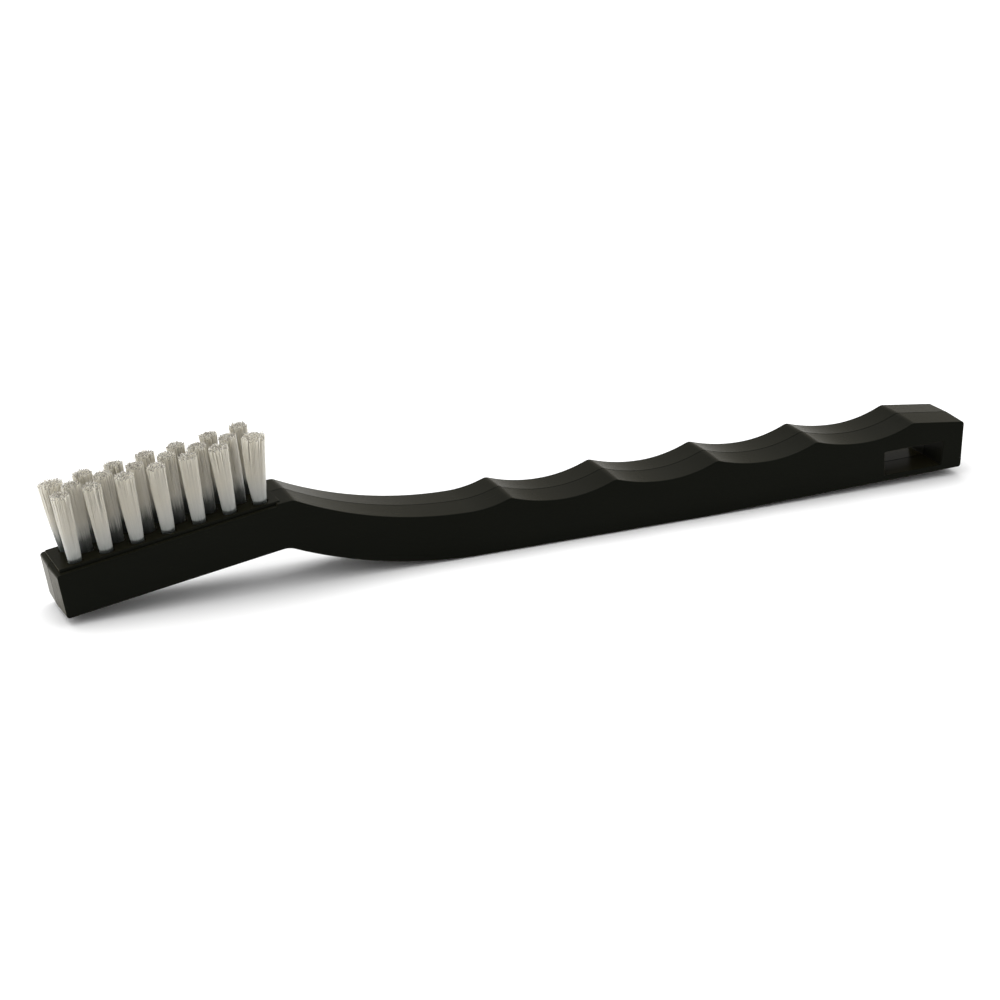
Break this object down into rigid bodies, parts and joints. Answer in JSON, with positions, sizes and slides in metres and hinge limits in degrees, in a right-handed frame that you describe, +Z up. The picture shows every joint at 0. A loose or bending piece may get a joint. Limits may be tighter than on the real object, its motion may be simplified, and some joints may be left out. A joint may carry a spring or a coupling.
{
  "type": "hand cleaning brush",
  "caption": "Toothbrush-shaped cleaning brush with a moulded finger-grip handle, a hanging slot and short staggered tufts of nylon bristle.",
  "frame": {"origin": "middle of the straight flat back that the brush lies on", "axes": "+X from the head to the tail along the straight back, +Y across the width, +Z up to the bristle side"},
  "size_m": [0.1856, 0.013, 0.0299],
  "materials": {
    "handle_plastic": "satin black injection-moulded plastic",
    "bristle_nylon": "natural white, slightly see-through nylon filament",
    "anchor_wire": "cut flat wire"
  },
  "bodies": {
    "root": {"handle": "handle_plastic", "tuft_near_1": "bristle_nylon", "tuft_near_2": "bristle_nylon", "tuft_near_3": "bristle_nylon", "tuft_near_4": "bristle_nylon", "tuft_near_5": "bristle_nylon", "tuft_near_6": "bristle_nylon", "tuft_near_7": "bristle_nylon", "tuft_middle_1": "bristle_nylon", "tuft_middle_2": "bristle_nylon", "tuft_middle_3": "bristle_nylon", "tuft_middle_4": "bristle_nylon", "tuft_middle_5": "bristle_nylon", "tuft_middle_6": "bristle_nylon", "tuft_far_1": "bristle_nylon", "tuft_far_2": "bristle_nylon", "tuft_far_3": "bristle_nylon", "tuft_far_4": "bristle_nylon", "tuft_far_5": "bristle_nylon", "tuft_far_6": "bristle_nylon", "tuft_far_7": "bristle_nylon", "anchor_near_1": "anchor_wire", "anchor_near_2": "anchor_wire", "anchor_near_3": "anchor_wire", "anchor_near_4": "anchor_wire", "anchor_near_5": "anchor_wire", "anchor_near_6": "anchor_wire", "anchor_near_7": "anchor_wire", "anchor_middle_1": "anchor_wire", "anchor_middle_2": "anchor_wire", "anchor_middle_3": "anchor_wire", "anchor_middle_4": "anchor_wire", "anchor_middle_5": "anchor_wire", "anchor_middle_6": "anchor_wire", "anchor_far_1": "anchor_wire", "anchor_far_2": "anchor_wire", "anchor_far_3": "anchor_wire", "anchor_far_4": "anchor_wire", "anchor_far_5": "anchor_wire", "anchor_far_6": "anchor_wire", "anchor_far_7": "anchor_wire"}
  },
  "joints": []
}
